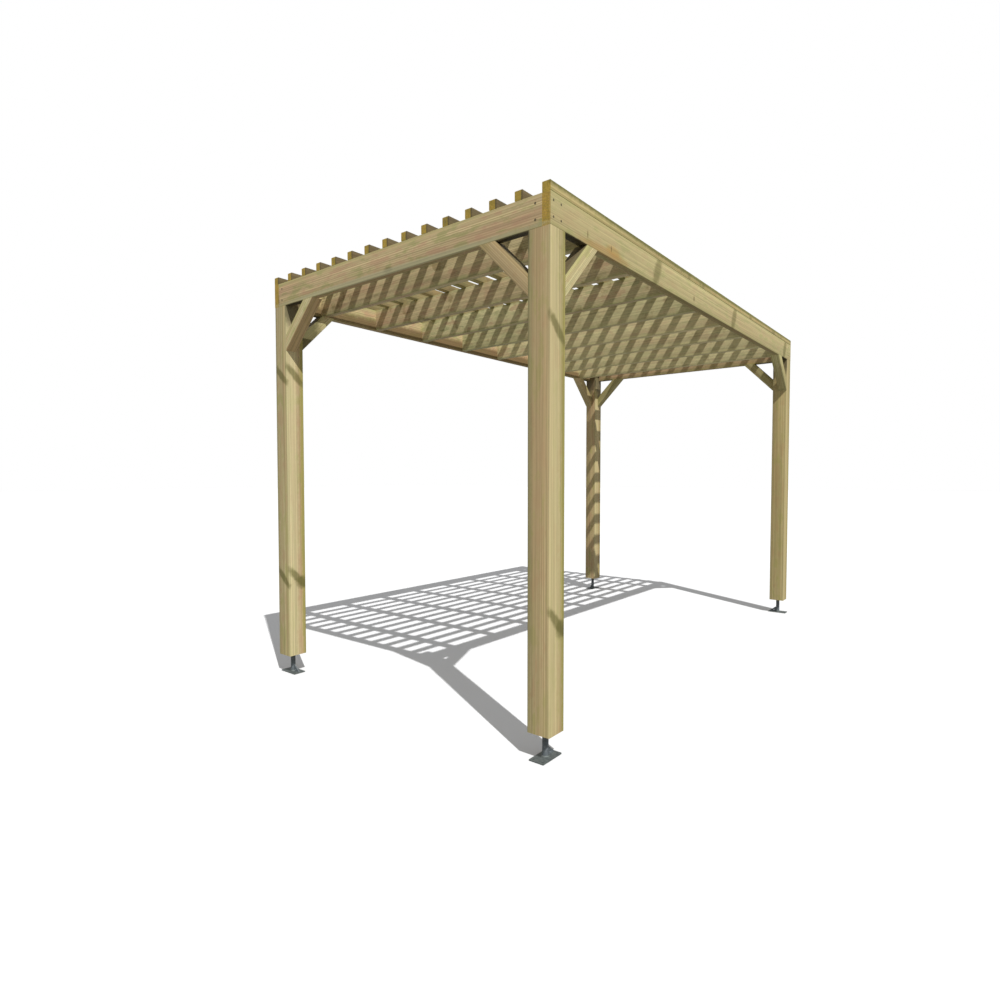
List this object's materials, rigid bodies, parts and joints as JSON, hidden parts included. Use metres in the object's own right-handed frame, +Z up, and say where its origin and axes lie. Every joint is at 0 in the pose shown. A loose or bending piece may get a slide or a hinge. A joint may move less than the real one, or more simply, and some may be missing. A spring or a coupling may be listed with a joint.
{
  "type": "wooden pergola",
  "caption": "Free-standing flat-topped garden pergola: square timber posts on steel levelling feet, a ring of beams with corner braces, cross joists and long roof slats.",
  "frame": {"origin": "on the ground, at the middle of the plan", "axes": "+X along the pergola's length, from its front end to its back end; +Y from its right side to its left side; +Z up"},
  "size_m": [4.03, 2.15, 2.542],
  "materials": {
    "post_timber": "pressure-treated softwood, planed, matt, pale tan with a green tint",
    "beam_timber": "pressure-treated softwood, planed, matt, pale green-yellow to tan",
    "joist_timber": "pressure-treated softwood, planed, matt, olive tan",
    "slat_timber": "pressure-treated softwood, planed, matt, with ochre end grain",
    "brace_timber": "pressure-treated softwood, planed, matt, pale tan",
    "galvanised_steel": "dull grey coated steel"
  },
  "bodies": {
    "root": {"foot_front_right": "galvanised_steel", "foot_back_right": "galvanised_steel", "foot_back_left": "galvanised_steel", "foot_front_left": "galvanised_steel", "post_front_right": "post_timber", "post_back_right": "post_timber", "post_back_left": "post_timber", "post_front_left": "post_timber", "long_beam_right": "beam_timber", "long_beam_left": "beam_timber", "short_beam_front": "beam_timber", "short_beam_back": "beam_timber", "joist_1": "joist_timber", "joist_2": "joist_timber", "joist_3": "joist_timber", "joist_4": "joist_timber", "joist_5": "joist_timber", "joist_6": "joist_timber", "joist_7": "joist_timber", "joist_8": "joist_timber", "slat_1": "slat_timber", "slat_2": "slat_timber", "slat_3": "slat_timber", "slat_4": "slat_timber", "slat_5": "slat_timber", "slat_6": "slat_timber", "slat_7": "slat_timber", "slat_8": "slat_timber", "slat_9": "slat_timber", "slat_10": "slat_timber", "slat_11": "slat_timber", "slat_12": "slat_timber", "slat_13": "slat_timber", "slat_14": "slat_timber", "slat_15": "slat_timber", "side_brace_front_right": "brace_timber", "side_brace_back_right": "brace_timber", "side_brace_back_left": "brace_timber", "side_brace_front_left": "brace_timber", "end_brace_front_right": "brace_timber", "end_brace_back_right": "brace_timber", "end_brace_back_left": "brace_timber", "end_brace_front_left": "brace_timber"}
  },
  "joints": []
}
